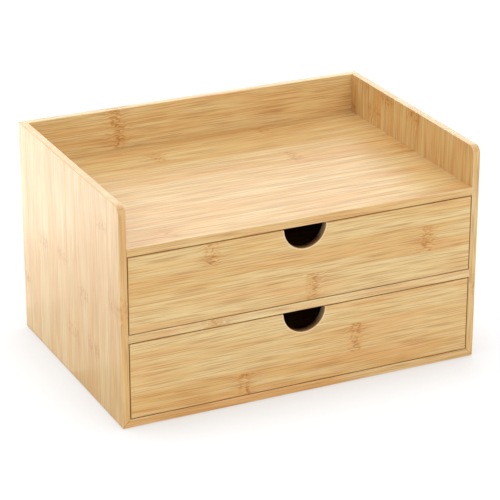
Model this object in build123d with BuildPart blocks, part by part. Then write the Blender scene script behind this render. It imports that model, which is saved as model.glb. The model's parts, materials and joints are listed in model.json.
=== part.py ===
"""Bamboo desk organizer: an open tray above two flush drawers.

Millimetres. +X is the viewer's right, +Y runs from the drawer fronts to the back
and +Z is up. The origin is the middle of the footprint, on the desk.
"""

import os
from math import atan2, degrees

from build123d import *

# Outside of the case
width = 350.0
depth = 240.0

# Boards of the case
side_thickness = 7.0
base_thickness = 7.5
shelf_thickness = 7.5
floor_thickness = 7.5
back_thickness = 7.5

# Clear heights of the case
bay_height = 72.5
rim_height = 38.5

# Softened corners and edges
front_corner = 8.0
rear_corner = 1.5
arris = 0.6

# Joints of the case: a stopped housing for each shelf, a rebate for the back
housing_depth = 2.5
housing_stop = 9.0
rebate_depth = 3.5

# Loose tongue that keys each mitred foot corner
spline_width = 5.0
spline_thickness = 2.0
spline_place = 0.6
spline_stop = 18.0

# Foot pads, glued into shallow recesses in the base
pad_radius = 6.0
pad_recess = 1.0
pad_proud = 1.0
pad_inset = 20.0
pad_play = 0.2
pad_bevel = 0.4

# Drawer fronts
front_thickness = 7.5
reveal = 0.8
notch_radius = 20.5
notch_horn = 1.2

# Drawer boxes
drawer_side_thickness = 7.0
drawer_side_height = 65.0
drawer_back_thickness = 7.0
bottom_thickness = 3.0
bottom_rise = 5.0
groove_depth = 3.0
groove_play = 0.3
front_lap = 4.0
back_lap = 3.5
box_inset = 0.4
running_gap = 0.3
closing_gap = 0.3

# Brads, of flat wire
brad_height = 1.2
brad_breadth = 1.0
brad_length = 16.0
brad_edge = 15.0
back_brad_length = 20.0
back_brad_edge = 32.0
back_brad_count = 4

# How far a cutting shape reaches past the wood
beyond = 2.0

# Levels of the case, from the desk upwards
case_bottom = pad_proud
base_top = case_bottom + base_thickness
shelf_bottom = base_top + bay_height
shelf_top = shelf_bottom + shelf_thickness
floor_bottom = shelf_top + bay_height
floor_top = floor_bottom + floor_thickness
rim_top = floor_top + rim_height

# Faces of the case, seen in plan
outer_x = width / 2
inner_x = outer_x - side_thickness
front_y = -depth / 2
rear_y = depth / 2
back_face_y = rear_y - back_thickness

# Faces of a drawer, seen in plan
front_edge_x = inner_x - reveal
box_x = front_edge_x - box_inset
box_inner_x = box_x - drawer_side_thickness
front_back_y = front_y + front_thickness
lip_back_y = front_back_y - front_lap
box_rear_y = back_face_y - closing_gap
box_back_y = box_rear_y - drawer_back_thickness

os.makedirs("parts", exist_ok=True)


def upright(y):
    """The upright plane across the case at that depth, seen from the front."""
    return Plane.XZ.offset(-y)


def save(builder, name):
    """Labels a finished piece and writes it."""
    builder.part.label = name
    export_step(builder.part, f"parts/{name}.step")


# The mitred foot, as points of the left corner's section: the mitre runs from the
# case's outer corner, which is eased by one arris, to the corner of the lower bay
mitre_share = arris / (side_thickness + base_thickness)
mitre_tip = (-outer_x + mitre_share * side_thickness, case_bottom + mitre_share * base_thickness)
mitre_heel = (-inner_x, base_top)
spline_centre = (
    -outer_x + spline_place * side_thickness,
    case_bottom + spline_place * base_thickness,
)
spline_angle = degrees(atan2(-side_thickness, base_thickness))


def mirrored_x(point):
    """The same point of the section on the right-hand side."""
    return (-point[0], point[1])


def spline_prism(hand, mode):
    """The mitre's tongue, or its groove, at the left (hand 1) or right (hand -1) foot."""
    with BuildSketch(upright(rear_y - spline_stop)) as section:
        with Locations((hand * spline_centre[0], spline_centre[1])):
            Rectangle(spline_width, spline_thickness, rotation=hand * spline_angle)
    extrude(section.sketch, amount=depth - 2 * spline_stop, mode=mode)


def back_brads(mode):
    """Brads driven through the back into the rear edges of the shelf and the tray floor."""
    spacing = 2 * (inner_x - back_brad_edge) / (back_brad_count - 1)
    for level in ((shelf_bottom + shelf_top) / 2, (floor_bottom + floor_top) / 2):
        with BuildSketch(upright(rear_y)) as wires:
            with Locations((0, level)):
                with GridLocations(spacing, 1, back_brad_count, 1):
                    Rectangle(brad_height, brad_breadth)
        extrude(wires.sketch, amount=back_brad_length, mode=mode)


# Side panels: a board with a rounded front top corner, a mitred foot, two stopped
# housings with the round front ends that a cutter leaves, and a rebate for the back
with BuildPart() as left_side_panel:
    with BuildSketch(upright(rear_y)):
        with BuildLine():
            Polyline(
                (-outer_x, case_bottom + arris),
                mitre_tip,
                mitre_heel,
                (-inner_x, rim_top),
                (-outer_x, rim_top),
                close=True,
            )
        make_face()
    extrude(amount=depth)
    rim_ends = left_side_panel.edges().filter_by(Axis.X).group_by(Axis.Z)[-1].sort_by(Axis.Y)
    fillet(rim_ends[0], front_corner)
    fillet(rim_ends[-1], rear_corner)
    faces = left_side_panel.faces().filter_by(Axis.X)
    fillet(faces.edges().filter_by(lambda edge: edge.center().Z > base_top + arris), arris)
    for level, thickness in ((shelf_bottom, shelf_thickness), (floor_bottom, floor_thickness)):
        slot_front = front_y + housing_stop
        slot_rear = back_face_y + thickness / 2
        with BuildSketch(Plane.YZ.offset(-inner_x)):
            with Locations(((slot_front + slot_rear) / 2, level + thickness / 2)):
                SlotOverall(slot_rear - slot_front, thickness)
        extrude(amount=-housing_depth, mode=Mode.SUBTRACT)
    with BuildSketch(Plane.YZ.offset(-inner_x)):
        with Locations((back_face_y, base_top)):
            Rectangle(
                back_thickness + beyond,
                rim_top - base_top + beyond,
                align=(Align.MIN, Align.MIN),
            )
    extrude(amount=-rebate_depth, mode=Mode.SUBTRACT)
    spline_prism(1, Mode.SUBTRACT)
save(left_side_panel, "left_side_panel")

with BuildPart() as right_side_panel:
    add(left_side_panel.part.mirror(Plane.YZ))
save(right_side_panel, "right_side_panel")

# Base: mitred at both ends, grooved for the tongues and recessed for the pads
pad_spacing_x = width - 2 * pad_inset
pad_spacing_y = depth - 2 * pad_inset
with BuildPart() as bottom_board:
    with BuildSketch(upright(rear_y)):
        with BuildLine():
            Polyline(
                (-outer_x + arris, case_bottom),
                mitre_tip,
                mitre_heel,
                mirrored_x(mitre_heel),
                mirrored_x(mitre_tip),
                (outer_x - arris, case_bottom),
                close=True,
            )
        make_face()
    extrude(amount=depth)
    fillet(bottom_board.edges().filter_by(Axis.X), arris)
    with BuildSketch(Plane.XY.offset(case_bottom)):
        with GridLocations(pad_spacing_x, pad_spacing_y, 2, 2):
            Circle(pad_radius + pad_play)
    extrude(amount=pad_recess, mode=Mode.SUBTRACT)
    for hand in (1, -1):
        spline_prism(hand, Mode.SUBTRACT)
save(bottom_board, "bottom_board")

for hand, name in ((1, "left_mitre_spline"), (-1, "right_mitre_spline")):
    with BuildPart() as mitre_spline:
        spline_prism(hand, Mode.ADD)
    save(mitre_spline, name)


def housed_board(level, thickness):
    """A shelf that runs into the housings of both sides. Its front corners are cut
    back to the sides' inner faces, so that the housings don't show from the front."""
    tongue_front = front_y + housing_stop + thickness / 2
    with BuildPart() as board:
        with BuildSketch(Plane.XY.offset(level)):
            with Locations((0, front_y)):
                Rectangle(2 * inner_x, back_face_y - front_y, align=(Align.CENTER, Align.MIN))
            with Locations((0, tongue_front)):
                Rectangle(
                    2 * (inner_x + housing_depth),
                    back_face_y - tongue_front,
                    align=(Align.CENTER, Align.MIN),
                )
        extrude(amount=thickness)
        fillet(board.faces().sort_by(Axis.Y)[0].edges().filter_by(Axis.X), arris)
        back_brads(Mode.SUBTRACT)
    return board


save(housed_board(shelf_bottom, shelf_thickness), "middle_shelf")
save(housed_board(floor_bottom, floor_thickness), "tray_floor")

# Back panel: stands on the base in the rebates of the sides, up to the rim
with BuildPart() as back_panel:
    with BuildSketch(upright(rear_y)):
        with Locations((0, base_top)):
            Rectangle(
                2 * (inner_x + rebate_depth),
                rim_top - base_top,
                align=(Align.CENTER, Align.MIN),
            )
    extrude(amount=back_thickness)
    fillet(back_panel.edges().filter_by(Axis.X).group_by(Axis.Z)[-1], arris)
    back_brads(Mode.SUBTRACT)
save(back_panel, "back_panel")

with BuildPart() as back_panel_brads:
    back_brads(Mode.ADD)
save(back_panel_brads, "back_panel_brads")

# Foot pads: soft discs, bevelled where they meet the desk
for end, y in (("front", -pad_spacing_y / 2), ("rear", pad_spacing_y / 2)):
    for side, x in (("left", -pad_spacing_x / 2), ("right", pad_spacing_x / 2)):
        with BuildPart() as foot_pad:
            with BuildSketch(Plane.XY):
                with Locations((x, y)):
                    Circle(pad_radius)
            extrude(amount=pad_proud + pad_recess)
            chamfer(foot_pad.edges().sort_by(Axis.Z)[0], pad_bevel)
        save(foot_pad, f"{end}_{side}_foot_pad")


def corner_brads(run_level, mode):
    """Brads driven through both drawer sides, two at each corner, into the ends of
    the front and the back. The drawer runs at that level."""
    front_brad_y = lip_back_y + front_lap / 2
    back_brad_y = box_rear_y - drawer_back_thickness / 2
    low = run_level + brad_edge
    high = run_level + drawer_side_height - brad_edge
    for hand in (1, -1):
        with BuildSketch(Plane.YZ.offset(-hand * box_x)) as wires:
            with Locations(*[(y, z) for y in (front_brad_y, back_brad_y) for z in (low, high)]):
                Rectangle(brad_breadth, brad_height)
        extrude(wires.sketch, amount=hand * brad_length, mode=mode)


def bottom_groove(plane, length, run_level, towards):
    """The groove for the bottom panel, cut in the inner face of a drawer board."""
    with BuildSketch(plane) as section:
        with Locations((0, run_level + bottom_rise)):
            Rectangle(length, bottom_thickness, align=(Align.CENTER, Align.MIN))
    extrude(section.sketch, amount=towards * groove_depth, mode=Mode.SUBTRACT)


def drawer_front(bay_level):
    """A flush front with a half-round finger notch in its top edge. Its ends are
    rebated from behind, so that a thin lip covers the ends of the drawer sides."""
    low = bay_level + reveal
    high = bay_level + bay_height - reveal
    run_level = bay_level + running_gap
    with BuildPart() as front:
        with BuildSketch(upright(front_y)):
            with Locations((0, low)):
                Rectangle(2 * front_edge_x, high - low, align=(Align.CENTER, Align.MIN))
            with Locations((0, high)):
                Circle(notch_radius, mode=Mode.SUBTRACT)
        extrude(amount=-front_thickness)
        notch_mouth = front.edges().filter_by(Axis.Y).group_by(Axis.Z)[-1].sort_by(Axis.X)[1:-1]
        fillet(notch_mouth, notch_horn)
        fillet(front.faces().sort_by(Axis.Y)[0].edges(), arris)
        fillet(front.faces().sort_by(Axis.Y)[-1].edges().filter_by(GeomType.CIRCLE), arris)
        for hand in (1, -1):
            with BuildSketch(upright(front_back_y)):
                with Locations((hand * (box_inner_x + (front_edge_x + beyond)) / 2, (low + high) / 2)):
                    Rectangle(front_edge_x + beyond - box_inner_x, high - low + beyond)
            extrude(amount=front_lap, mode=Mode.SUBTRACT)
        bottom_groove(upright(front_back_y), 2 * front_edge_x, run_level, 1)
        corner_brads(run_level, Mode.SUBTRACT)
    return front


def drawer_side(run_level):
    """The left side of a drawer box: grooved for the bottom, rebated for the back."""
    with BuildPart() as side:
        with BuildSketch(Plane.YZ.offset(-box_x)):
            with Locations((lip_back_y, run_level)):
                Rectangle(
                    box_rear_y - lip_back_y,
                    drawer_side_height,
                    align=(Align.MIN, Align.MIN),
                )
        extrude(amount=drawer_side_thickness)
        fillet(side.edges().filter_by(Axis.Y), arris)
        bottom_groove(Plane.YZ.offset(-box_inner_x), 2 * depth, run_level, -1)
        with BuildSketch(Plane.YZ.offset(-box_inner_x)):
            with Locations((box_back_y, run_level - beyond)):
                Rectangle(
                    drawer_back_thickness + beyond,
                    drawer_side_height + 2 * beyond,
                    align=(Align.MIN, Align.MIN),
                )
        extrude(amount=-back_lap, mode=Mode.SUBTRACT)
        corner_brads(run_level, Mode.SUBTRACT)
    return side


def drawer_back(run_level):
    """The back of a drawer box, between the rebated ends of its sides."""
    with BuildPart() as back:
        with BuildSketch(upright(box_rear_y)):
            with Locations((0, run_level)):
                Rectangle(
                    2 * (box_inner_x + back_lap),
                    drawer_side_height,
                    align=(Align.CENTER, Align.MIN),
                )
        extrude(amount=drawer_back_thickness)
        fillet(back.edges().filter_by(Axis.X), arris)
        bottom_groove(upright(box_back_y), width, run_level, -1)
        corner_brads(run_level, Mode.SUBTRACT)
    return back


def drawer_bottom(run_level):
    """The thin bottom panel, held in the grooves of all four drawer boards."""
    reach = groove_depth - groove_play
    with BuildPart() as bottom:
        with BuildSketch(Plane.XY.offset(run_level + bottom_rise)):
            with Locations((0, (front_back_y + box_back_y) / 2)):
                Rectangle(2 * (box_inner_x + reach), box_back_y - front_back_y + 2 * reach)
        extrude(amount=bottom_thickness)
    return bottom


# Two equal drawers, one in each bay
for place, bay_level in (("lower", base_top), ("upper", shelf_top)):
    run_level = bay_level + running_gap
    save(drawer_front(bay_level), f"{place}_drawer_front")
    left_side = drawer_side(run_level)
    save(left_side, f"{place}_drawer_left_side")
    with BuildPart() as right_side:
        add(left_side.part.mirror(Plane.YZ))
    save(right_side, f"{place}_drawer_right_side")
    save(drawer_back(run_level), f"{place}_drawer_back")
    save(drawer_bottom(run_level), f"{place}_drawer_bottom")
    with BuildPart() as drawer_brads:
        corner_brads(run_level, Mode.ADD)
    save(drawer_brads, f"{place}_drawer_brads")
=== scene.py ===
# %% [markdown]
# # A bamboo desk organizer
# The organizer is a case of thin bamboo boards, with an open tray on top and two flush
# drawers below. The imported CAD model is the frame: it fixes every size and every place.
# This script builds the boards that show with eased edges, gives all pieces their finish,
# and sets up the studio and the camera. Outlines and the patterns in the wood are worked out
# in millimetres, and the studio in metres.

import json
from math import atan2, ceil, copysign, cos, degrees, radians, sin, sqrt

import bpy
import numpy as np
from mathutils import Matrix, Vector


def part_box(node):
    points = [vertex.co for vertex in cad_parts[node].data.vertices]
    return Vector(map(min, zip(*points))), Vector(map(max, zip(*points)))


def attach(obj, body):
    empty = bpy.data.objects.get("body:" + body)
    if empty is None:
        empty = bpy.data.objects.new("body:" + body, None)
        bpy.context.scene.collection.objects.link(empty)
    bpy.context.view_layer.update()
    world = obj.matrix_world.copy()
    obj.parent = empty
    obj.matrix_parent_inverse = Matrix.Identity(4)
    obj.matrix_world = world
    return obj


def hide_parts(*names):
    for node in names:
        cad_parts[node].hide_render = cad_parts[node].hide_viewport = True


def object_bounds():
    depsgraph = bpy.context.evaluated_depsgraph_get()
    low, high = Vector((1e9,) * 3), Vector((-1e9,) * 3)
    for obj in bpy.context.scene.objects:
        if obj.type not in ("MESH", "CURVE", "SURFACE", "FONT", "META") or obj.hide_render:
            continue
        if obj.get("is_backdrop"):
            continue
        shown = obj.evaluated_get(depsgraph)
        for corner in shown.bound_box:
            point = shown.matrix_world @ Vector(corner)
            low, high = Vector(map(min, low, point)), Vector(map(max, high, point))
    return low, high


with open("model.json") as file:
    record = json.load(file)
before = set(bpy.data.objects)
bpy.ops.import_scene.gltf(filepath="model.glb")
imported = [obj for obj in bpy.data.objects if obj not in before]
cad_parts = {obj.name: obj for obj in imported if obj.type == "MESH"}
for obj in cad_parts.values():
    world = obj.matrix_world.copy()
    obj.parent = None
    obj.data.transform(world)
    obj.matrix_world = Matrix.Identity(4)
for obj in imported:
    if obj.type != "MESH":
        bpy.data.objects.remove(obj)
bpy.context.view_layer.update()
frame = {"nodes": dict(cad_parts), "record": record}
scene = bpy.context.scene
MM = 0.001

# %% [markdown]
# ## Colours
# Colours are picked as sRGB hex values, as from a paint card, but shaders reckon in linear
# light. One function undoes the sRGB curve for all of them.


# %% From a hex value to linear light
def colour(swatch):
    """A hex swatch as linear RGBA. Above the short straight foot of the sRGB curve, a
    channel is ((value + 0.055) / 1.055) to the power 2.4."""
    share = np.array([int(swatch[i : i + 2], 16) for i in (1, 3, 5)]) / 255
    linear = np.where(share <= 0.04045, share / 12.92, ((share + 0.055) / 1.055) ** 2.4)
    return (*linear.tolist(), 1.0)


WHITE = "#FFFFFF"
print("mid-tone of bamboo in linear light", [round(c, 3) for c in colour("#D9B06C")])

# %% [markdown]
# ## Adding a shader node
# Each finish below is a tree of small steps, and each step is one node. This function adds
# a node: lower-case settings are the node's own options, capitalised ones go into the inputs
# of that name, and values without a name fill the inputs in order. A value that is a node
# or a socket becomes a link, so a tree reads like a sum.


# %% Add a node with its settings and links
def add(tree, kind, *values, **settings):
    """Adds one shader node to a tree and returns it."""
    node = tree.nodes.new("ShaderNode" + kind)
    for name in [name for name in settings if name[0].islower()]:
        setattr(node, name, settings.pop(name))
    inputs = [socket for socket in node.inputs if socket.enabled]
    named = {socket.name.replace(" ", "_"): socket for socket in reversed(inputs)}
    filled = list(zip(inputs, values)) + [(named[name], value) for name, value in settings.items()]
    for socket, value in filled:
        if isinstance(value, bpy.types.Node):
            value = next(output for output in value.outputs if output.enabled)
        if isinstance(value, bpy.types.NodeSocket):
            tree.links.new(value, socket)
        else:
            socket.default_value = value
    return node


def empty_material(name):
    """A new material with a bare node tree."""
    material = bpy.data.materials.new(name)
    material.use_nodes = True
    material.node_tree.nodes.clear()
    return material, material.node_tree


# %% [markdown]
# ## A board as one surface
# A board is planed flat, sawn to its outline and eased along its edges with sandpaper. Here
# its outline is carried through its thickness, ring by ring. Near a face the rings draw in
# along a quarter round, and one flat face closes each end. A Bevel modifier would round all
# edges alike, but sandpaper takes a little more here and a little less there, and the edges
# that meet in a joint stay sharp.

# %% Walk round an outline
EDGE_STEP = 8.0  # between points on a straight edge
CORNER_TURN = 12.0  # between points on a round corner, degrees
CLOSE = 1e-6  # two arcs that lie this close share a point


def walk(arcs):
    """Goes anticlockwise round an outline of arcs that are joined by straight edges. Returns
    a row for each point: its place, its outward direction, and its easing at the near and at
    the far face. An arc is (centre u, centre v, radius, first angle, last angle, near, far),
    and a point on it is the centre plus the radius along the angle. On a hollow arc the angle
    falls, and outward is towards the centre. A radius of 0 is a point on an edge, or at a
    slant a sharp corner, which draws in along both its edges at once. Between two arcs, all
    values change evenly."""
    stops = []
    for u, v, radius, first, last, near, far in arcs:
        angle = np.radians(np.linspace(first, last, 1 + ceil(abs(last - first) / CORNER_TURN)))
        beam = np.stack([np.cos(angle), np.sin(angle)], 1)
        outward = beam if last >= first else -beam
        if radius == 0:
            outward = beam / np.abs(beam).max()
        easing = np.tile((near, far), (len(angle), 1))
        stops.append(np.hstack([(u, v) + radius * beam, outward, easing]))
    rows = []
    for stop, following in zip(stops, stops[1:] + stops[:1]):
        run = np.linalg.norm(following[0, :2] - stop[-1, :2])
        share = np.linspace(0, 1, 1 + ceil(run / EDGE_STEP))[1:-1, None]
        rows.append(stop if run > CLOSE else stop[:-1])
        rows.append(stop[-1] + share * (following[0] - stop[-1]))
    return np.vstack(rows)


# %% Corners and edge points of an outline
EASE = 0.6  # radius of an edge that a hand can touch
SHARP = 0.05  # radius of an edge that meets another board


def round_corner(u, v, quarter, radius, near=EASE, far=EASE):
    """A rounded square corner. Quarter 0 is top right, and the others follow anticlockwise."""
    slant = radians(90 * quarter + 45)
    centre = (u - copysign(radius, cos(slant)), v - copysign(radius, sin(slant)))
    return (*centre, radius, 90 * quarter, 90 * quarter + 90, near, far)


def sharp_corner(u, v, quarter, near=EASE, far=EASE):
    """A square corner with no rounding, counted as round_corner's."""
    return (u, v, 0.0, 90 * quarter + 45, 90 * quarter + 45, near, far)


def edge_point(u, v, side, near=EASE, far=EASE):
    """A point on a straight edge, where the easing can change. Side 0 is right, 1 top, 2 left
    and 3 bottom."""
    return (u, v, 0.0, 90 * side, 90 * side, near, far)


square = [sharp_corner(5, -5, 3), sharp_corner(5, 5, 0), sharp_corner(-5, 5, 1), sharp_corner(-5, -5, 2)]
print("points round a 10 mm square", len(walk(square)))

# %% [markdown]
# ## From rings to a mesh
# All rings have the same number of points, so the points form a grid, and the faces between
# two rings come from shifting that grid by one place. An attribute remembers how far each
# point was eased. The finish paints the eased edges paler, as worn wood and as a painted
# highlight for the light that a rounded edge catches, and on the drawer fronts browner, as
# painted shade beside the gaps. The flat faces are far larger than the rounded edges, so
# weighted normals keep them flat to the eye.

# %% Skin over rings of points
SHARP_TURN = radians(40)  # two faces that turn more than this keep a hard edge between them


def skin(name, rings, eased, mirrored):
    """Closes a grid of points, in mm and as rings by points by axes, into one surface."""
    count = rings.shape[0] * rings.shape[1]
    here = np.arange(count).reshape(rings.shape[:2])
    beside = np.roll(here, -1, 1)
    quads = np.stack([here[:-1], beside[:-1], beside[1:], here[1:]], -1).reshape(-1, 4)
    faces = quads.tolist() + [here[0, ::-1].tolist(), here[-1].tolist()]
    if mirrored:
        faces = [face[::-1] for face in faces]
    mesh = bpy.data.meshes.new(name)
    mesh.from_pydata((rings.reshape(-1, 3) * MM).tolist(), [], faces)
    mesh.attributes.new("eased", "FLOAT", "POINT").data.foreach_set("value", eased.ravel())
    mesh.shade_smooth()
    mesh.set_sharp_from_angle(angle=SHARP_TURN)
    piece = bpy.data.objects.new(name, mesh)
    scene.collection.objects.link(piece)
    piece.modifiers.new("even_shading", "WEIGHTED_NORMAL").keep_sharp = True
    return piece


# %% Carry an outline through a board
EASE_STEPS = 4
SANDING = 0.3  # how much of the easing comes and goes along an edge
WAVES = (3, 7, 12)  # how often each wave of the sanding comes and goes round the outline
hand = np.random.default_rng(7)


def board(name, arcs, axes, start, thickness, sanding=SANDING, steps=(), cut=None):
    """A board whose outline lies in the plane of the first two axes and runs from start along
    the third. t turns through a quarter, from the face to the edge: that ring is drawn in by
    1 - sin t of the easing, and lies 1 - cos t of it from the face. The easing itself comes
    and goes as the mean of three sines round the outline. steps adds rings at those depths,
    and cut moves all points, for joints."""
    outline = walk(arcs)
    count = len(outline)
    around = np.arange(count) / count
    waves = [np.sin(2 * np.pi * (crests * around + hand.random())) for crests in WAVES]
    near, far = outline[:, 4:].T * (1 + sanding * np.mean(waves, 0))
    turn = np.linspace(0, np.pi / 2, EASE_STEPS + 1)[:, None]
    back = turn[::-1]
    flat = np.zeros((len(steps), count))
    level = flat + np.reshape(steps, (-1, 1))
    inset = np.vstack([(1 - np.sin(turn)) * near, flat, (1 - np.sin(back)) * far])
    depth = np.vstack([(1 - np.cos(turn)) * near, level, thickness - (1 - np.cos(back)) * far])
    eased = np.vstack([np.sin(2 * turn) * near, flat, np.sin(2 * back) * far]) / EASE
    u, v = np.moveaxis(outline[:, :2] - inset[..., None] * outline[:, 2:4], -1, 0)
    if cut:
        u, v = cut(u, v, depth)
    rings = np.array(start) + np.stack([u, v, depth], -1) @ np.array(axes)
    return skin(name, rings, eased, np.linalg.det(axes) < 0)


# %% [markdown]
# ## The boards of the case
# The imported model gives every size. A new board rides on the same body as the CAD node that
# it stands for, hides that node and takes its slot. The closed joints inside, such as the
# housings of the shelves, aren't repeated, because nothing opens them.

# %% Stand in for a node
BODY = {node: body for body, nodes in frame["record"]["behaviour"]["bodies"].items() for node in nodes}
shown = dict(frame["nodes"])


def stand_for(node, piece):
    """Lets the piece stand for a CAD node."""
    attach(piece, BODY[node])
    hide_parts(node)
    shown[node] = piece


def box_mm(node):
    """A node's lowest and highest corner, in mm."""
    return [np.array(corner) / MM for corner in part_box(node)]


(left_x, front_y, _), (inner_left_x, rear_y, rim) = box_mm("left_side_panel")
foot, base_top = (corner[2] for corner in box_mm("bottom_board"))
back_left_x, back_face_y, _ = box_mm("back_panel")[0]
right_x, inner_right_x, back_right_x = -left_x, -inner_left_x, -back_left_x
side_thickness = inner_left_x - left_x
base_thickness = base_top - foot
print("case", right_x - left_x, rear_y - front_y, rim, "side", side_thickness, "base", base_thickness)

# %% [markdown]
# ## The side panels
# A side panel is one board with upright grain. Its foot is mitred, and a rebate behind takes
# the back panel. A Boolean modifier could cut both, but it would leave slivers along the
# eased edges. Here the points of the rings are moved to the joint instead, so that the
# surface stays a clean grid.

# %% Side panels
FRONT_CORNER = 8.0
REAR_CORNER = 1.5
FOOT_CORNER = 0.8
CHANGE = 1.5  # from a corner to where the easing has changed
BACK_CHANGE = 2.0  # the same, before the back panel
FOOT_REACH = 20.0  # how far up the mitre's shear reaches
REBATE_REACH = 12.5  # how far in from the rear edge the rebate's shear reaches
STEP = 1e-4  # between the two rings at a sharp step
# The rebate ends at the top of the base. Where it ends, the points and the rings lie close.
END_STEP = 0.4
END_LOW, END_HIGH = 1.2, 9.0  # how far above the foot the points lie close
end_rises = np.arange(END_LOW, END_HIGH, END_STEP)
rebate = back_left_x - left_x
SIDE = [
    round_corner(rear_y, foot, 3, FOOT_CORNER, EASE, SHARP),
    *[edge_point(rear_y, foot + rise, 0, EASE, SHARP) for rise in end_rises],
    round_corner(rear_y, rim, 0, REAR_CORNER, EASE, SHARP),
    edge_point(back_face_y - BACK_CHANGE, rim, 1),
    round_corner(front_y, rim, 1, FRONT_CORNER),
    edge_point(front_y, foot + CHANGE, 2),
    round_corner(front_y, foot, 2, FOOT_CORNER, EASE, SHARP),
]


def side_joints(u, v, depth):
    """Raises the foot to the mitre, which climbs by base over side thickness, and moves the
    rear edge to the front of the back panel behind the rebate. Both fade away inwards."""
    climb = depth * base_thickness / side_thickness
    v = v + climb * np.clip(1 - (v - foot) / FOOT_REACH, 0, 1)
    fold = np.clip(1 - (rear_y - u) / REBATE_REACH, 0, 1) * (rear_y - back_face_y)
    return np.where((depth > rebate + STEP / 2) & (v > base_top + END_STEP / 2), u - fold, u), v


steps = (rebate, *np.arange(rebate + STEP, side_thickness - END_STEP, END_STEP))
for name, start_x, inward in (("left_side_panel", left_x, 1), ("right_side_panel", right_x, -1)):
    axes = [(0, 1, 0), (0, 0, 1), (inward, 0, 0)]
    start = (start_x, 0, 0)
    piece = board("sanded_" + name, SIDE, axes, start, side_thickness, steps=steps, cut=side_joints)
    stand_for(name, piece)
    print(piece.name, len(piece.data.vertices), "points")

# %% [markdown]
# ## The base, the shelves and the back panel
# The base is mitred into both sides, so its ends slant. The middle shelf, the tray floor and
# the back panel are plain boards. The base is eased at the front and at the rear, the shelves
# at the front, and the back panel along its upper edge. A board can only be eased where its
# outline meets the two faces that close it, so the base and the back panel have an upright
# outline that is carried from front to rear, and the shelves a level one, carried upwards.

# %% Base
MITRE_REACH = 20.0  # how far in from its ends the mitre's shear reaches
TOP_CHANGE = 1.0  # from an end of its upper face to where the easing has changed
UPRIGHT = [(1, 0, 0), (0, 0, 1), (0, 1, 0)]
BASE = [
    round_corner(right_x, foot, 3, FOOT_CORNER),
    edge_point(right_x, foot + CHANGE, 0, SHARP, SHARP),
    sharp_corner(right_x, base_top, 0, SHARP, SHARP),
    edge_point(right_x - TOP_CHANGE, base_top, 1),
    edge_point(left_x + TOP_CHANGE, base_top, 1),
    sharp_corner(left_x, base_top, 1, SHARP, SHARP),
    edge_point(left_x, foot + CHANGE, 2, SHARP, SHARP),
    round_corner(left_x, foot, 2, FOOT_CORNER),
]


def base_mitres(u, v, depth):
    """Draws the ends in to the mitres, which climb by base over side thickness."""
    near_end = np.clip(1 - (right_x - np.abs(u)) / MITRE_REACH, 0, 1)
    return u - np.sign(u) * near_end * (v - foot) * side_thickness / base_thickness, v


start, length = (0, front_y, 0), rear_y - front_y
stand_for("bottom_board", board("sanded_bottom_board", BASE, UPRIGHT, start, length, cut=base_mitres))
print("base", len(shown["bottom_board"].data.vertices), "points")

# %% Middle shelf, tray floor and back panel
FRONT_CHANGE = 1.0  # from a shelf's front edge to where the easing has changed
LEVEL = [(1, 0, 0), (0, 1, 0), (0, 0, 1)]
SHELF = [
    sharp_corner(inner_right_x, front_y, 3),
    edge_point(inner_right_x, front_y + FRONT_CHANGE, 0, SHARP, SHARP),
    sharp_corner(inner_right_x, back_face_y, 0, SHARP, SHARP),
    sharp_corner(inner_left_x, back_face_y, 1, SHARP, SHARP),
    edge_point(inner_left_x, front_y + FRONT_CHANGE, 2, SHARP, SHARP),
    sharp_corner(inner_left_x, front_y, 2),
]
for name in ("middle_shelf", "tray_floor"):
    low, high = box_mm(name)
    stand_for(name, board("sanded_" + name, SHELF, LEVEL, (0, 0, low[2]), high[2] - low[2]))

BACK = [
    sharp_corner(back_right_x, base_top, 3, SHARP, SHARP),
    edge_point(back_right_x, rim - CHANGE, 0, SHARP, SHARP),
    sharp_corner(back_right_x, rim, 0),
    sharp_corner(back_left_x, rim, 1),
    edge_point(back_left_x, rim - CHANGE, 2, SHARP, SHARP),
    sharp_corner(back_left_x, base_top, 2, SHARP, SHARP),
]
back = board("sanded_back_panel", BACK, UPRIGHT, (0, back_face_y, 0), rear_y - back_face_y)
stand_for("back_panel", back)
print("boards of the case", [piece.name for piece in shown.values() if piece.name.startswith("sanded")])

# %% [markdown]
# ## The drawer fronts
# A half-round finger notch is milled down from the top edge, and its two horns are rounded
# over. Where the horn's circle touches the notch's, their centres lie both radii apart,
# which gives the horn's place. From behind, both ends are rebated for the drawer's sides.

# %% Outline of a drawer front
NOTCH_RADIUS = 20.5
NOTCH_HORN = 1.2
HORN_CHANGE = 3.0  # from a horn's centre to where the easing has changed
horn_x = sqrt((NOTCH_RADIUS + NOTCH_HORN) ** 2 - NOTCH_HORN**2)
dip = degrees(atan2(NOTCH_HORN, horn_x))


def front_outline(end_x, low_z, top):
    """A drawer front, with its notch as a hollow arc between two round horns."""
    return [
        sharp_corner(end_x, low_z, 3, EASE, SHARP),
        sharp_corner(end_x, top, 0, EASE, SHARP),
        edge_point(horn_x + HORN_CHANGE, top, 1, EASE, SHARP),
        (horn_x, top - NOTCH_HORN, NOTCH_HORN, 90, 180 - dip, EASE, EASE),
        (0, top, NOTCH_RADIUS, -dip, dip - 180, EASE, EASE),
        (-horn_x, top - NOTCH_HORN, NOTCH_HORN, dip, 90, EASE, EASE),
        edge_point(-horn_x - HORN_CHANGE, top, 1, EASE, SHARP),
        sharp_corner(-end_x, top, 1, EASE, SHARP),
        sharp_corner(-end_x, low_z, 2, EASE, SHARP),
    ]


print("a horn's centre lies", round(horn_x, 2), "mm from the middle of the notch")

# %% Drawer fronts
DRAWERS = ("upper_drawer_", "lower_drawer_")
LAP_REACH = 17.0  # how far in from the ends the rebate's shear reaches


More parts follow.
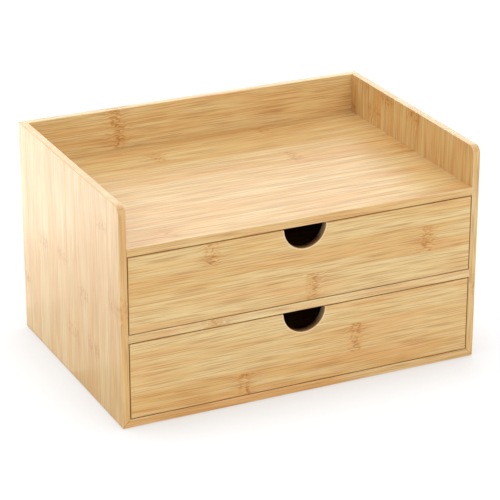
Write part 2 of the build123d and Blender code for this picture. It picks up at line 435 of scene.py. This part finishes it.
def end_rebates(end_x, lap_x, lap):
    """Returns the cut that draws both ends in to the drawer's sides, behind the lip."""

    def cut(u, v, depth):
        near_end = np.clip(1 - (end_x - np.abs(u)) / LAP_REACH, 0, 1)
        return np.where(depth > lap + STEP / 2, u - np.sign(u) * near_end * (end_x - lap_x), u), v

    return cut


for drawer in DRAWERS:
    name = drawer + "front"
    (_, face_y, low_z), (end_x, behind_y, top) = box_mm(name)
    (_, lap_y, _), (side_x, _, _) = box_mm(drawer + "left_side")
    lap = lap_y - face_y
    outline = front_outline(end_x, low_z, top)
    start = (0, face_y, 0)
    steps = (lap, lap + STEP)
    cut = end_rebates(end_x, -side_x, lap)
    piece = board("sanded_" + name, outline, UPRIGHT, start, behind_y - face_y, steps=steps, cut=cut)
    stand_for(name, piece)
    print(piece.name, len(piece.data.vertices), "points")

# %% [markdown]
# ## The foot pads
# A pad is a disc of rubber, moulded with a round lower edge, so its outline is one arc that
# goes all the way round, and nothing was sanded.

# %% Foot pads
PAD_EDGE = 0.4
for name in [node for node in frame["nodes"] if node.endswith("foot_pad")]:
    low, high = box_mm(name)
    middle = (low + high) / 2
    disc = [(middle[0], middle[1], middle[0] - low[0], 0, 360, PAD_EDGE, SHARP)]
    stand_for(name, board("moulded_" + name, disc, LEVEL, (0, 0, low[2]), high[2] - low[2], sanding=0))
print("nodes that a new piece stands for", sum(shown[node] != frame["nodes"][node] for node in shown))

# %% [markdown]
# ## Strip bamboo: where a point lies in the board
# Bamboo board is made from the split wall of the cane: strips about 25 mm wide, planed,
# glued edge to edge under pressure, sanded and lacquered. An image of the grain would slide
# and stretch at every corner, so the pattern is solid instead. It is worked out from the
# place inside the board: how far along the grain, how far across the strips, how deep. Faces,
# edges and cut ends then agree, as on real wood.

# %% Distances inside a board
STRIP_WIDTH = 24.5
AXES = {"X": 0, "Y": 1, "Z": 2}


def board_place(tree, node, grain, across, joint, width):
    """Returns the distances along the grain, across the strips and through the board, in mm,
    and then the strip's number and the share of the way across it."""
    low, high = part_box(node)
    through = ({"X", "Y", "Z"} - {grain, across}).pop()
    split = add(tree, "SeparateXYZ", add(tree, "TexCoord").outputs["Object"])
    spot = []
    for axis in (grain, across, through):
        start = low[AXES[axis]]
        spot.append(add(tree, "MapRange", split.outputs[axis], start, start + MM, clamp=False))
    strips = add(tree, "Math", spot[1], width - joint, operation="ADD")
    strips = add(tree, "Math", strips, width, operation="DIVIDE")
    strip = add(tree, "Math", strips, operation="FLOOR")
    into = add(tree, "Math", strips, operation="FRACT")
    return spot, strip, into


print("strips across a side panel", (rear_y - front_y) / STRIP_WIDTH)

# %% [markdown]
# ## Strip bamboo: what sets one strip apart
# Where each strip has its knuckle, how pale and how warm it is, and how bold the knuckle is,
# are listed for the boards that show most. A stepped colour ramp holds one colour per
# strip: red is the knuckle's place, green how pale, blue how warm and alpha how bold.

# %% Read a strip's own traits
KNUCKLE_MARGIN = 60.0  # how far past the board's ends a knuckle can be put, out of sight
OFF = -KNUCKLE_MARGIN  # the place of a knuckle that doesn't show


def strip_traits(tree, strip, traits, length):
    """Returns each strip's knuckle place in mm, its paleness, its warmth and its boldness."""
    count = len(traits)
    middle = add(tree, "Math", strip, 0.5, operation="ADD")
    ramp = add(tree, "ValToRGB", add(tree, "Math", middle, count, operation="DIVIDE"))
    elements = ramp.color_ramp.elements
    ramp.color_ramp.interpolation = "CONSTANT"
    for index, (knuckle, pale, warm, bold) in enumerate(traits):
        # A new ramp has two elements already.
        element = elements[index] if index < 2 else elements.new(index / count)
        element.position = index / count
        share = (knuckle + KNUCKLE_MARGIN) / (length + 2 * KNUCKLE_MARGIN)
        element.color = (share, pale, warm, bold)
    parts = add(tree, "SeparateColor", ramp)
    low, high = -KNUCKLE_MARGIN, length + KNUCKLE_MARGIN
    knuckle = add(tree, "MapRange", parts.outputs["Red"], 0.0, 1.0, low, high)
    return knuckle, parts.outputs["Green"], parts.outputs["Blue"], ramp.outputs["Alpha"]


# %% [markdown]
# ## Strip bamboo: the run of the fibres
# Fibres are noise squeezed along the grain, so all that matters is the place that the
# noise reads. Each strip comes from another cane and gets its own stretch of it. A slow
# wander keeps the fibres from looking ruled, and round a knuckle they swirl.

# %% Where the fibres' noise is read
# A noise's size is how large its blotches are along the grain, across it and through the
# board.
WANDER, WANDER_SIZE = 3.0, (260.0, 50.0, 50.0)  # how far the fibres stray, and in what bends
SWIRL, SWIRL_SIZE = 7.0, (9.0, 6.0, 6.0)
SWIRL_REACH, SWIRL_FULL = 22.0, 3.0  # how far from a knuckle the swirl starts, and is full
CANE_STEP = 900.0  # how far apart two strips read the noise


def fibre_place(tree, spot, strip, near, seed):
    """Returns the place that the fibres' noise reads, in mm."""
    along, over, deep = spot
    number = add(tree, "Math", strip, seed + 0.5, operation="ADD")
    cane = add(tree, "TexWhiteNoise", number, noise_dimensions="1D")
    far = add(tree, "Math", cane, CANE_STEP, along, operation="MULTIPLY_ADD")
    straight = add(tree, "CombineXYZ", far, over, deep)
    sideways = over
    for reach, size, share in ((WANDER, WANDER_SIZE, 1.0), (SWIRL, SWIRL_SIZE, near)):
        squeezed = add(tree, "VectorMath", straight, size, operation="DIVIDE")
        stray = add(tree, "TexNoise", squeezed, Scale=1.0, Detail=1.0)
        stray = add(tree, "MapRange", stray, 0.0, 1.0, -reach / 2, reach / 2)
        sideways = add(tree, "Math", stray, share, sideways, operation="MULTIPLY_ADD")
    return add(tree, "CombineXYZ", far, sideways, deep)


# %% [markdown]
# ## Strip bamboo: the fibres
# Eight layers of fibre do the work, from clouds of paler and warmer wood 12 mm across, over
# ribbons and streaks, down to single dark fibres. Each is noise, stretched along the grain,
# and a colour that shows where the noise lies between two values. The layers are laid like
# glazes, each over what lies under it.


# %% Lay a tint over what lies under it
def cover(tree, base, share, tint, figure=1.0):
    """Lays a tint over the base as far as share says. A tint is how much it covers at most,
    and its colour, and figure makes it fainter."""
    strength, swatch = tint
    share = add(tree, "Math", share, strength * figure, operation="MULTIPLY")
    return add(tree, "Mix", share, base, colour(swatch), data_type="RGBA")


# %% The layers of fibre
MID, PALE, WARM = "#DDB46E", "#E5CE98", "#D09A56"
ROSE, HONEY, BROWN = "#DFAC70", "#C78C45", "#A36830"
CLOUD, RIBBON, STREAK = (130.0, 12.0, 9.0), (80.0, 3.4, 3.4), (55.0, 1.7, 1.7)
HAIR, FIBRE = (45.0, 0.9, 0.9), (18.0, 0.4, 0.4)

# Size in mm along, across and through the board, detail, where the noise starts to show and
# where it is full, and the tint.
FIBRES = (
    (CLOUD, 1.0, 0.46, 0.62, (0.52, PALE)),
    (CLOUD, 1.0, 0.47, 0.32, (0.48, ROSE)),
    (RIBBON, 2.0, 0.50, 0.68, (0.28, HONEY)),
    (RIBBON, 2.0, 0.44, 0.28, (0.28, PALE)),
    (STREAK, 1.0, 0.50, 0.66, (0.25, HONEY)),
    (STREAK, 1.0, 0.45, 0.32, (0.20, PALE)),
    (HAIR, 0.0, 0.52, 0.66, (0.42, BROWN)),
    (FIBRE, 1.0, 0.50, 0.75, (0.25, BROWN)),
)


def fibrous_wood(tree, place, pale, warm, figure):
    """Returns the strip's own colour under all layers of fibre, and their noises by size."""
    base = add(tree, "Mix", pale, colour(MID), colour(PALE), data_type="RGBA")
    base = cover(tree, base, warm, (1.0, WARM))
    noises = {}
    for size, detail, start, full, tint in FIBRES:
        if size not in noises:
            squeezed = add(tree, "VectorMath", place, size, operation="DIVIDE")
            noises[size] = add(tree, "TexNoise", squeezed, Scale=1.0, Detail=detail)
        share = add(tree, "MapRange", noises[size], start, full, interpolation_type="SMOOTHSTEP")
        base = cover(tree, base, share, tint, figure)
    return base, noises


print("layers of fibre", len(FIBRES))

# %% [markdown]
# ## Strip bamboo: the knuckles
# Where the cane had a joint, the fibres knot: a band about 12 mm wide that crosses one
# strip and stops at its glue line. Short curly brown strokes lie in it on a golden ground,
# and dark fibres tail off from it along the grain. It is what tells bamboo from pine at a
# glance. The strokes are contour lines of a noise, because those bend and close like loops,
# and a second noise breaks them up.

# %% A knuckle's marks
BEND, BEND_SIZE = 6.0, (9.0, 6.0, 6.0)  # how far the band bends, and how large its bends are
BEND_SHIFT = 9.7  # how far apart two strips read those bends
BAND_REACH, BLUSH_REACH, MARKS_FULL = 8.0, 12.0, 2.0  # from the middle of the band
CURL_SIZE, BREAK_SIZE = (6.5, 2.4, 2.4), (5.0, 3.5, 3.5)
STROKE_EDGE, STROKE_FULL = 0.11, 0.01  # how far the noise is from its middle value
BREAK_START, BREAK_END = 0.40, 0.56  # between these values of the noise, a break ends
TAIL_START, TAIL_FULL = 0.45, 0.60  # the hairs' noise, where a tail starts to show and is full
BLUSH, TAILS, STROKES = (0.3, "#DCA458"), (0.32, "#BA7C38"), (0.8, "#A0621C")


def knuckle_marks(tree, spot, strip, away):
    """Returns how strongly a point belongs to the knuckle's blush and to its strokes."""
    along, over, deep = spot
    shifted = add(tree, "Math", strip, BEND_SHIFT, operation="MULTIPLY")
    place = add(tree, "CombineXYZ", shifted, over, deep)
    squeezed = add(tree, "VectorMath", place, BEND_SIZE, operation="DIVIDE")
    bend = add(tree, "TexNoise", squeezed, Scale=1.0, Detail=2.0)
    bend = add(tree, "MapRange", bend, 0.0, 1.0, -BEND / 2, BEND / 2)
    near = add(tree, "Math", add(tree, "Math", away, bend, operation="ADD"), operation="ABSOLUTE")
    band = add(tree, "MapRange", near, BAND_REACH, MARKS_FULL, interpolation_type="SMOOTHSTEP")
    blush = add(tree, "MapRange", near, BLUSH_REACH, MARKS_FULL, interpolation_type="SMOOTHSTEP")
    place = add(tree, "CombineXYZ", along, over, deep)
    squeezed = add(tree, "VectorMath", place, CURL_SIZE, operation="DIVIDE")
    curl = add(tree, "TexNoise", squeezed, Scale=1.0, Detail=1.5)
    curl = add(tree, "Math", add(tree, "Math", curl, 0.5, operation="SUBTRACT"), operation="ABSOLUTE")
    stroke = add(tree, "MapRange", curl, STROKE_EDGE, STROKE_FULL)
    squeezed = add(tree, "VectorMath", place, BREAK_SIZE, operation="DIVIDE")
    whole = add(tree, "TexNoise", squeezed, Scale=1.0, Detail=1.0)
    whole = add(tree, "MapRange", whole, BREAK_START, BREAK_END)
    stroke = add(tree, "Math", stroke, whole, operation="MULTIPLY")
    return blush, add(tree, "Math", stroke, band, operation="MULTIPLY")


def lay_knuckle(tree, base, blush, strokes, hair, near, bold, figure):
    """Lays a knuckle's blush, its tails and its strokes over the base."""
    tails = add(tree, "MapRange", hair, TAIL_START, TAIL_FULL, interpolation_type="SMOOTHSTEP")
    tails = add(tree, "Math", tails, near, operation="MULTIPLY")
    for share, tint, scale in ((blush, BLUSH, 1.0), (tails, TAILS, figure), (strokes, STROKES, figure)):
        share = add(tree, "Math", share, bold, operation="MULTIPLY")
        base = cover(tree, base, share, tint, scale)
    return base


# %% [markdown]
# ## Strip bamboo: glue lines, cut ends and the notch
# A strip darkens a little towards its glue line, which is drawn as a hairline. A cut end
# shows the fibre bundles as brown dots, on wood that is painted paler: sanded wood, and a
# painted sheen for the light that the top faces of the rims catch. On the drawer fronts,
# painted shade browns the edges that face into the gaps, and the arrises beside them. The
# notch's wall is darker, with painted shade that deepens further in, and the face round the
# notch is paler, from sandpaper and from a painted highlight.

# %% Glue lines and cut ends
# This pale tint stands for sanded wood, and is also used to paint highlights on edges and sheen on cut
# ends.
SANDED_AND_SHEEN = "#EED9AE"  # where sandpaper has cut the fibres
# Eased edges are painted paler: sanded wood, and a painted highlight for the light that a rounded edge
# catches.
EDGE_PALE_AND_HIGHLIGHT = (0.35, SANDED_AND_SHEEN)  # the tint of an edge that sandpaper has eased
GLUE_LINE, LINE = 0.2, (0.4, BROWN)  # the width of a glue line, and its tint
GLUE_REACH, GLUE_SHADE = 0.14, (0.55, HONEY)  # the share of a strip that darkens, and its tint
# Cut ends are painted paler: sanded wood, and a painted sheen for the light that the rims' top faces
# catch.
END_START, END_FULL, END_PALE_AND_SHEEN = 0.7, 0.9, (0.25, SANDED_AND_SHEEN)  # how far a face looks along the grain
BUNDLE = 0.8  # between the fibre bundles in a cut end
DOT_EDGE, DOT_FULL, DOTS = 0.45, 0.15, (0.25, BROWN)  # from the middle of a bundle


def lay_glue_lines(tree, base, into, width, ribbons):
    """Darkens a strip unevenly towards its glue line, and draws the line."""
    edge = add(tree, "MapRange", into, GLUE_REACH, 0.0, interpolation_type="SMOOTHSTEP")
    edge = add(tree, "Math", edge, ribbons, operation="MULTIPLY")
    base = cover(tree, base, edge, GLUE_SHADE)
    return cover(tree, base, add(tree, "MapRange", into, GLUE_LINE / width, 0.0), LINE)


def lay_cut_ends(tree, base, spot, lengthwise):
    """Pales the cut ends, which face along the grain, partly as painted sheen, and dots them with fibre
    bundles.
    """
    cut_end = add(tree, "Math", lengthwise, operation="ABSOLUTE")
    cut_end = add(tree, "MapRange", cut_end, END_START, END_FULL)
    base = cover(tree, base, cut_end, END_PALE_AND_SHEEN)
    place = add(tree, "CombineXYZ", 0.0, spot[1], spot[2])
    place = add(tree, "VectorMath", place, (BUNDLE, BUNDLE, BUNDLE), operation="DIVIDE")
    dots = add(tree, "TexVoronoi", place, Scale=1.0).outputs["Distance"]
    dots = add(tree, "MapRange", dots, DOT_EDGE, DOT_FULL)
    return cover(tree, base, add(tree, "Math", dots, cut_end, operation="MULTIPLY"), DOTS)


# %% The edges and the notch of a drawer front
# The edges of a front that face into the gaps round it are browned, and so are its arrises: painted
# shade for the dark reveals.
EDGE_START, EDGE_FULL, GAP_EDGE_SHADE = 0.5, 0.1, (0.6, "#A6703A")  # how far a face looks to the front
ARRIS_SHADE = (0.7, "#C88A3C")  # where two faces meet
# How far outside the notch's radius the paler rim starts and is full, and the darker wall
# likewise. The rim's tint is sanded wood and a painted highlight for the light its rounded
# edge catches.
RIM_START, RIM_FULL, RIM_PALE_AND_HIGHLIGHT = 1.7, 0.7, (0.6, SANDED_AND_SHEEN)
WALL_START, WALL_FULL, DARK_WALL = 0.15, 0.03, (0.9, "#8F6036")
# Painted shade darkens the notch's wall more, the further it lies behind the front's face.
WALL_SHADE_START, WALL_SHADE_FULL, PAINTED_WALL_SHADE = 1.8, 5.5, (0.9, "#24130A")  # how far behind the front's face


def lay_notch(tree, base, spot, frontwards, eased, notch):
    """Browns a front's edges that face into the gaps, and its arrises, as painted shade. Pales the
    rim of the notch, as sanded wood with a painted highlight, and darkens its wall, with painted
    shade that deepens further in. notch is how far its centre lies along the grain and across it,
    and its radius."""
    along, over, deep = spot
    centre_along, centre_over, radius = notch
    gap_facing = add(tree, "Math", frontwards, operation="ABSOLUTE")
    base = cover(tree, base, add(tree, "MapRange", gap_facing, EDGE_START, EDGE_FULL), GAP_EDGE_SHADE)
    base = cover(tree, base, eased, ARRIS_SHADE)
    place = add(tree, "CombineXYZ", along, over)
    reach = add(tree, "VectorMath", place, (centre_along, centre_over, 0), operation="DISTANCE")
    reach = reach.outputs["Value"]
    rim_pale_and_highlight = add(tree, "MapRange", reach, radius + RIM_START, radius + RIM_FULL)
    base = cover(tree, base, rim_pale_and_highlight, RIM_PALE_AND_HIGHLIGHT)
    wall = add(tree, "MapRange", reach, radius + WALL_START, radius + WALL_FULL)
    base = cover(tree, base, wall, DARK_WALL)
    inner = add(tree, "MapRange", deep, WALL_SHADE_START, WALL_SHADE_FULL)
    return cover(tree, base, add(tree, "Math", wall, inner, operation="MULTIPLY"), PAINTED_WALL_SHADE)


# %% [markdown]
# ## Strip bamboo: the whole board
# The lacquer is satin and thin: it barely fills the fibres, so one slightly rough surface
# with the index of lacquer gives the soft white sheen that the boards have at a low angle.

# %% The finish of one board
LACQUER_IOR = 1.5
SATIN = (0.38, 0.46)  # the lowest and the highest roughness
NOISE_RANGE = (0.3, 0.7)  # most of a noise's values lie between these
RELIEF_HEIGHT, RELIEF_STRENGTH = 0.06 * MM, 0.3  # of the hairs that the lacquer doesn't fill
STROKE_RELIEF = 2.0  # how high the strokes stand, where a hair stands up to 1


def bamboo(name, node, seed, notch, grain, across, joint, traits, width=STRIP_WIDTH, figure=1.0):
    """Lacquered strip bamboo for one board. notch is as in lay_notch, or None. grain and
    across name the axes of the grain and of the strips' width, joint is where the first glue
    line lies above the board's low edge, and traits holds (knuckle, paleness, warmth,
    boldness) for each strip, from the low edge up. width is a strip's, and figure is how
    strongly the fibres show."""
    low, high = box_mm(node)
    material, tree = empty_material(name)
    spot, strip, into = board_place(tree, node, grain, across, joint, width)
    knuckle, pale, warm, bold = strip_traits(tree, strip, traits, (high - low)[AXES[grain]])
    away = add(tree, "Math", spot[0], knuckle, operation="SUBTRACT")
    near = add(tree, "Math", away, operation="ABSOLUTE")
    near = add(tree, "MapRange", near, SWIRL_REACH, SWIRL_FULL, interpolation_type="SMOOTHSTEP")
    place = fibre_place(tree, spot, strip, near, seed)
    base, noises = fibrous_wood(tree, place, pale, warm, figure)
    blush, strokes = knuckle_marks(tree, spot, strip, away)
    base = lay_knuckle(tree, base, blush, strokes, noises[HAIR], near, bold, figure)
    base = lay_glue_lines(tree, base, into, width, noises[RIBBON])

    facing = add(tree, "SeparateXYZ", add(tree, "TexCoord").outputs["Normal"])
    eased = add(tree, "Attribute", attribute_name="eased").outputs["Fac"]
    # On a drawer front, painted shade browns the edges at the gaps and deepens in the notch's wall.
    if notch:
        base = lay_notch(tree, base, spot, facing.outputs["Y"], eased, notch)
    base = lay_cut_ends(tree, base, spot, facing.outputs[grain])
    # Off the drawer fronts, the eased edges get the paler tint with its painted highlight.
    if not notch:
        base = cover(tree, base, eased, EDGE_PALE_AND_HIGHLIGHT)

    relief = add(tree, "Math", strokes, STROKE_RELIEF, noises[HAIR], operation="MULTIPLY_ADD")
    bump = add(tree, "Bump", Height=relief, Strength=RELIEF_STRENGTH, Distance=RELIEF_HEIGHT)
    rough = add(tree, "MapRange", noises[STREAK], *NOISE_RANGE, *SATIN)
    shader = add(tree, "BsdfPrincipled", Base_Color=base, Roughness=rough, IOR=LACQUER_IOR, Normal=bump)
    add(tree, "OutputMaterial", shader)
    return material


def dress(node, material):
    """Gives what shows for a node that material alone."""
    mesh = shown[node].data
    mesh.materials.clear()
    mesh.materials.append(material)


# %% [markdown]
# ## Strip bamboo: how each board was glued up
# On the fronts and on the left side, the glue lines, the knuckles and the tones of the
# strips are listed one by one. The other boards hardly show, so a seeded draw lays
# them out, and only the few strips and glue lines that show are chosen.

# %% The boards that show most
BOARDS = {
    "upper_drawer_front": dict(
        grain="X",
        across="Z",
        joint=25.3,
        width=24.2,
        traits=[(175, 0.5, 0.0, 0.75), (290, 0.2, 0.15, 0.85), (78, 0.3, 0.0, 0.9)],
    ),
    "lower_drawer_front": dict(
        grain="X",
        across="Z",
        joint=21.0,
        width=27.5,
        traits=[(109, 0.1, 0.4, 1.0), (219, 0.38, 0.06, 0.95), (OFF, 0.45, 0.0, 0.0)],
    ),
    "left_side_panel": dict(
        grain="Z",
        across="Y",
        joint=26.5,
        traits=[
            (109, 0.2, 0.2, 0.8),
            (176, 0.4, 0.1, 0.7),
            (51, 0.2, 0.35, 0.8),
            (94, 0.3, 0.25, 0.7),
            (46, 0.2, 0.2, 0.6),
            (111, 0.4, 0.1, 0.7),
            (OFF, 0.2, 0.2, 0.0),
            (108, 0.5, 0.0, 0.8),
            (OFF, 0.3, 0.1, 0.0),
            (53, 0.5, 0.1, 0.7),
        ],
        figure=0.75,
    ),
}
print("boards laid out by hand", len(BOARDS))

# %% The boards that hardly show
HIDDEN = {
    "right_side_panel": ("Z", "Y"),
    "bottom_board": ("X", "Y"),
    "middle_shelf": ("X", "Y"),
    "tray_floor": ("X", "Y"),
    "back_panel": ("X", "Z"),
}
for drawer in DRAWERS:
    HIDDEN |= {
        drawer + "left_side": ("Y", "Z"),
        drawer + "right_side": ("Y", "Z"),
        drawer + "back": ("X", "Z"),
        drawer + "bottom": ("X", "Y"),
    }
SEEN_JOINTS = {"right_side_panel": 25.4, "back_panel": 10.0}
SEEN_STRIPS = {
    "bottom_board": {0: (OFF, 0.0, 0.65, 0.0)},
    "middle_shelf": {0: (84, 0.9, 0.0, 0.7)},
    "tray_floor": {0: (OFF, 0.35, 0.1, 0.0)},
    "right_side_panel": {4: (201, 0.3, 0.1, 0.9), 6: (201, 0.2, 0.2, 0.9)},
    # The back panel's top strip is pale, and that paleness is also painted light on its shaded inner
    # face.
    "back_panel": {8: (90, 0.5, 0.0, 0.9)},
}
JOINT_SHARES = (0.3, 0.9)  # how much of its width the first strip can have
LOW_TONES, HIGH_TONES = (0.1, 0.0, 0.5), (0.5, 0.2, 0.9)  # paleness, warmth and boldness
rng = np.random.default_rng(24)
for node, (grain, across) in HIDDEN.items():
    low, high = box_mm(node)
    length, breadth = ((high - low)[AXES[axis]] for axis in (grain, across))
    joint = SEEN_JOINTS.get(node, rng.uniform(*JOINT_SHARES) * STRIP_WIDTH)
    count = ceil((breadth - joint) / STRIP_WIDTH) + 1
    knuckles = rng.uniform(OFF, length + KNUCKLE_MARGIN, count)
    tones = rng.uniform(LOW_TONES, HIGH_TONES, (count, 3))
    strips = [(knuckle, *tone) for knuckle, tone in zip(knuckles, tones)]
    for index, traits in SEEN_STRIPS.get(node, {}).items():
        strips[index] = traits
    BOARDS[node] = dict(grain=grain, across=across, joint=joint, traits=strips)
print("boards laid out by the draw", len(HIDDEN))

# %% Dress the boards
for seed, (node, layout) in enumerate(BOARDS.items(), 1):
    low, high = box_mm(node)
    length, _, height = high - low
    notch = (length / 2, height, NOTCH_RADIUS) if node.endswith("front") else None
    dress(node, bamboo("bamboo_" + node, node, seed, notch, **layout))
for node in ("left_mitre_spline", "right_mitre_spline"):
    dress(node, bpy.data.materials["bamboo_bottom_board"])
print("bamboo boards", len(BOARDS))

# %% [markdown]
# ## Wire and rubber
# The brads are galvanised wire: dull grey zinc, whose fine grit blurs what it mirrors. Only
# their ends show, at the drawer corners and on the back. The foot pads are moulded rubber,
# which is black, matt and a little dusty.

# %% Brads and foot pads
ZINC, ZINC_ROUGHNESS = "#A9A8A4", (0.35, 0.55)
RUBBER, DUST, RUBBER_ROUGHNESS = "#1E1E20", "#34332F", 0.75
RUBBER_GRIT_HEIGHT, RUBBER_GRIT_STRENGTH = 0.05 * MM, 0.4
ZINC_GRIT, RUBBER_GRIT = 4000.0, 2500.0  # grains to a metre, coarser than real so that they show

galvanised, tree = empty_material("galvanised_wire")
grit = add(tree, "TexNoise", add(tree, "TexCoord").outputs["Object"], Scale=ZINC_GRIT, Detail=2.0)
rough = add(tree, "MapRange", grit, *NOISE_RANGE, *ZINC_ROUGHNESS)
shader = add(tree, "BsdfPrincipled", Base_Color=colour(ZINC), Metallic=1.0, Roughness=rough)
add(tree, "OutputMaterial", shader)

rubber, tree = empty_material("moulded_rubber")
grit = add(tree, "TexNoise", add(tree, "TexCoord").outputs["Object"], Scale=RUBBER_GRIT, Detail=3.0)
dusty = add(tree, "Mix", grit, colour(RUBBER), colour(DUST), data_type="RGBA")
bump = add(tree, "Bump", Height=grit, Strength=RUBBER_GRIT_STRENGTH, Distance=RUBBER_GRIT_HEIGHT)
shader = add(tree, "BsdfPrincipled", Base_Color=dusty, Roughness=RUBBER_ROUGHNESS, Normal=bump)
add(tree, "OutputMaterial", shader)

for node in frame["nodes"]:
    if node.endswith("brads"):
        dress(node, galvanised)
    if node.endswith("foot_pad"):
        dress(node, rubber)
print("plain finishes", galvanised.name, rubber.name)

# %% [markdown]
# ## The floor
# The organizer stands on a seamless white floor that runs out of sight. To the lens, and in
# what glossy wood mirrors, it is a glow of nearly full white, plus a thin diffuse share that
# keeps the shadow. Close to the foot of the case, the glow dims to a warm grey, which is how
# a case that almost touches the floor shades it. Beside the left side it dims less, because
# that side faces the key light and throws it back. To every other ray the floor is plain
# white board, so that it throws light back up as a real floor does.

# %% Floor
FLOOR_SIZE = 14.0
WHITE_BOARD, THIN_SHARE = "#F7F7F7", "#818181"
GLOW = 0.82
SHADE_REACH, SHADE_SAMPLES = 0.065, 16
SHADE_START, SHADE_FULL = 0.95, 0.45  # how much of the sky a spot of floor sees
SHADE_TONE = "#E6E1DD"
LEFT_SHADE = 0.4  # how much of the shade is left beside the left side
LEFT_X, FULL_X = -0.23, -0.13  # the X up to which that holds, and from which the shade is full


def seen_share(tree):
    """1 on a ray from the lens or from a glossy surface, and 0 on every other ray."""
    path = add(tree, "LightPath")
    rays = path.outputs["Is Camera Ray"], path.outputs["Is Glossy Ray"]
    return add(tree, "Math", *rays, operation="MAXIMUM")


half = FLOOR_SIZE / 2
corners = [(-half, -half, 0), (half, -half, 0), (half, half, 0), (-half, half, 0)]
mesh = bpy.data.meshes.new("floor")
mesh.from_pydata(corners, [], [(0, 1, 2, 3)])
floor = bpy.data.objects.new("floor", mesh)
scene.collection.objects.link(floor)
white_floor, tree = empty_material("white_floor")
open_sky = add(tree, "AmbientOcclusion", Distance=SHADE_REACH, samples=SHADE_SAMPLES)
near_foot = add(tree, "MapRange", open_sky.outputs["AO"], SHADE_START, SHADE_FULL)
place = add(tree, "SeparateXYZ", add(tree, "TexCoord").outputs["Object"])
unlit = add(tree, "MapRange", place.outputs["X"], LEFT_X, FULL_X, LEFT_SHADE, 1.0)
shading = add(tree, "Math", near_foot, unlit, operation="MULTIPLY")
tone = add(tree, "Mix", shading, colour(WHITE), colour(SHADE_TONE), data_type="RGBA")
glow = add(tree, "Emission", Color=tone, Strength=GLOW)
glow = add(tree, "AddShader", add(tree, "BsdfDiffuse", Color=colour(THIN_SHARE)), glow)
plain = add(tree, "BsdfDiffuse", Color=colour(WHITE_BOARD))
add(tree, "OutputMaterial", add(tree, "MixShader", seen_share(tree), plain, glow))
mesh.materials.append(white_floor)
floor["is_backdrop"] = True
print("floor", FLOOR_SIZE, "m")

# %% [markdown]
# ## Light
# A white room does most of the work, at a level where a board comes out in its own
# colour. Soft boxes stand behind the left shoulder of the case, over it, behind it and
# before it. Three light tables lie on the floor beside the case, each starting further
# back: the left side, seen at a low angle, mirrors them, and that is where its white sheen
# comes from, which grows towards the rear.

# %% Room
ROOM = 0.625
world = bpy.data.worlds.new("white_room")
scene.world = world
world.use_nodes = True
tree = world.node_tree
tree.nodes.clear()
level = add(tree, "MapRange", seen_share(tree), 0.0, 1.0, ROOM, 1.0)
add(tree, "OutputWorld", add(tree, "Background", colour(WHITE), level))
print("room", ROOM)

# %% Soft boxes and light tables
# Name, place, aim, width and length, and power in watts.
SOFT_BOXES = (
    ("key", (-1.6, 1.0, 1.8), (0, 0, 0.1), (1.6, 1.6), 16.2),
    ("overhead", (0.2, 0.2, 2.0), (0.2, 0.2, 0), (1.4, 1.4), 6.5),
    ("back_light", (0.95, 2.0, 0.95), (0, 0, 0.15), (1.6, 1.0), 13),
    ("front_fill", (0.4, -2.6, 1.6), (0, 0, 0.1), (2.0, 2.0), 29),
)
TABLES = ((0.0, 3.4), (0.15, 3.5), (0.3, 7.6))  # the Y where each starts, and its power
TABLE_X, TABLE_WIDTH, TABLE_FAR = -0.6, 1.0, 1.7  # their middle, width and the Y where they end
LAYER = 0.003  # one light in another's plane would hide it


def soft_box(name, place, aim, size, power):
    """A lamp of that width and length that faces its aim."""
    data = bpy.data.lights.new(name, "AREA")
    data.shape = "RECTANGLE"
    data.size, data.size_y = size
    data.energy = power
    lamp = bpy.data.objects.new(name, data)
    lamp.location = place
    lamp.rotation_mode = "QUATERNION"
    lamp.rotation_quaternion = (Vector(aim) - Vector(place)).to_track_quat("-Z", "Y")
    lamp.visible_camera = False
    scene.collection.objects.link(lamp)
    return lamp


for lamp in SOFT_BOXES:
    soft_box(*lamp)
for layer, (start, power) in enumerate(TABLES, 1):
    middle, length = (start + TABLE_FAR) / 2, TABLE_FAR - start
    place, above = (TABLE_X, middle, layer * LAYER), (TABLE_X, middle, 1)
    table = soft_box("light_table", place, above, (TABLE_WIDTH, length), power)
    table.visible_diffuse = False
print("lamps", len(SOFT_BOXES), "light tables", len(TABLES))

# %% [markdown]
# ## Camera
# The place, the turn and the lens were solved from the corners of the case in the
# photograph, with no shift of the lens.

# %% Camera
CAMERA_PLACE = Vector((-0.8227, -1.7327, 0.8921))
CAMERA_TURN, CAMERA_DIP = radians(25.505), radians(22.622)
SENSOR_WIDTH, LENS = 36.0, 161.6
camera_data = bpy.data.cameras.new("camera")
camera_data.sensor_width = SENSOR_WIDTH
camera_data.lens = LENS
camera_data.clip_start = 0.1
camera_data.clip_end = 50.0
camera = bpy.data.objects.new("camera", camera_data)
level_reach = cos(CAMERA_DIP)
gaze = Vector((sin(CAMERA_TURN) * level_reach, cos(CAMERA_TURN) * level_reach, -sin(CAMERA_DIP)))
camera.location = CAMERA_PLACE
camera.rotation_mode = "QUATERNION"
camera.rotation_quaternion = gaze.to_track_quat("-Z", "Y")
scene.collection.objects.link(camera)
scene.camera = camera
scene.view_settings.view_transform = "Standard"
print("camera", round((CAMERA_PLACE - Vector((0, 0, rim * MM / 2))).length, 2), "m from the case")

# %% Find the bounds of what shows
low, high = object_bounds()
